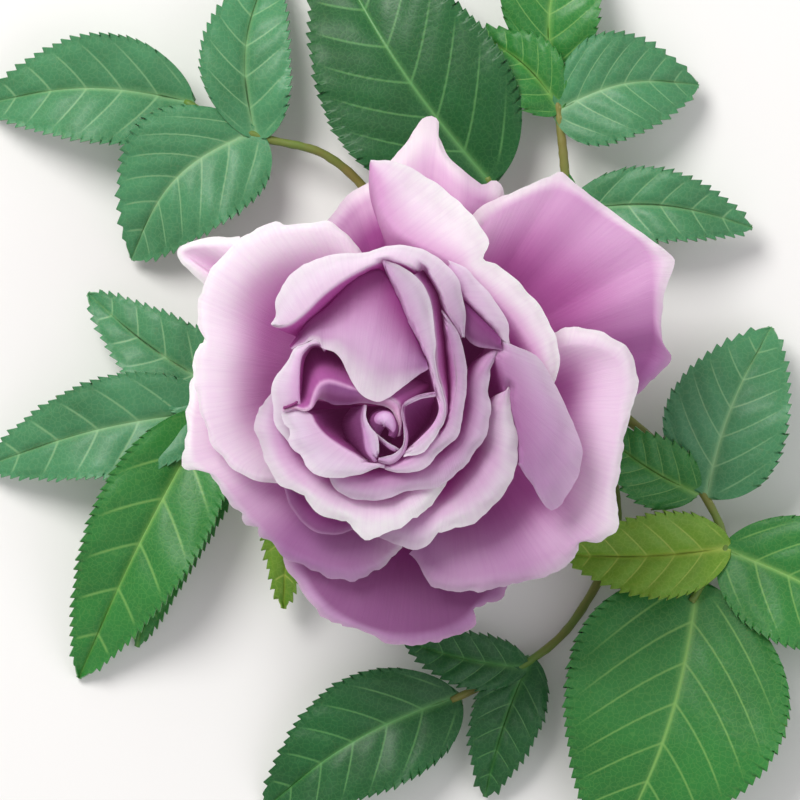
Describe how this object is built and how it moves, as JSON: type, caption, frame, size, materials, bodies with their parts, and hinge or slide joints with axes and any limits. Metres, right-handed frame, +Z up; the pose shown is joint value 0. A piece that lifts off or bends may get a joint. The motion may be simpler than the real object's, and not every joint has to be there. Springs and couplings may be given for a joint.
{
  "type": "shrub rose flowering shoot",
  "caption": "Cut shoot of a shrub rose lying down: an open lilac bloom of layered petals facing up, its hip and sepals, a short stem and compound leaves.",
  "frame": {"origin": "middle of the box that holds the shoot, on the floor it lies on", "axes": "+Z up from the floor, the way the bloom faces; +Y towards the upper leaves; +X towards the stem's cut end"},
  "size_m": [0.1916, 0.1938, 0.0778],
  "materials": {
    "petal": "silky, soft and slightly translucent petal",
    "calyx": "smooth matte green",
    "stem": "smooth green bark",
    "leaf": "satin green leaf with raised veins"
  },
  "bodies": {
    "root": {"bloom_heart": "petal", "petal_small_wall": "petal", "petal_band_low": "petal", "petal_ring_low_left": "petal", "petal_tongue_right": "petal", "petal_band_lower_right": "petal", "petal_small_fold": "petal", "petal_blade_right": "petal", "petal_cheek_left": "petal", "petal_guard_lower_right": "petal", "petal_guard_left_low": "petal", "petal_guard_upper_right": "petal", "petal_guard_top": "petal", "petal_guard_left_tip": "petal", "petal_guard_bottom": "petal", "hip": "calyx", "sepal_1": "calyx", "sepal_2": "calyx", "sepal_3": "calyx", "sepal_4": "calyx", "sepal_5": "calyx", "stem": "stem", "leaf_right": "leaf", "leaf_bottom": "leaf", "leaf_left": "leaf", "leaf_upper_left": "leaf", "leaf_top": "leaf", "leaf_upper_right": "leaf"}
  },
  "joints": []
}
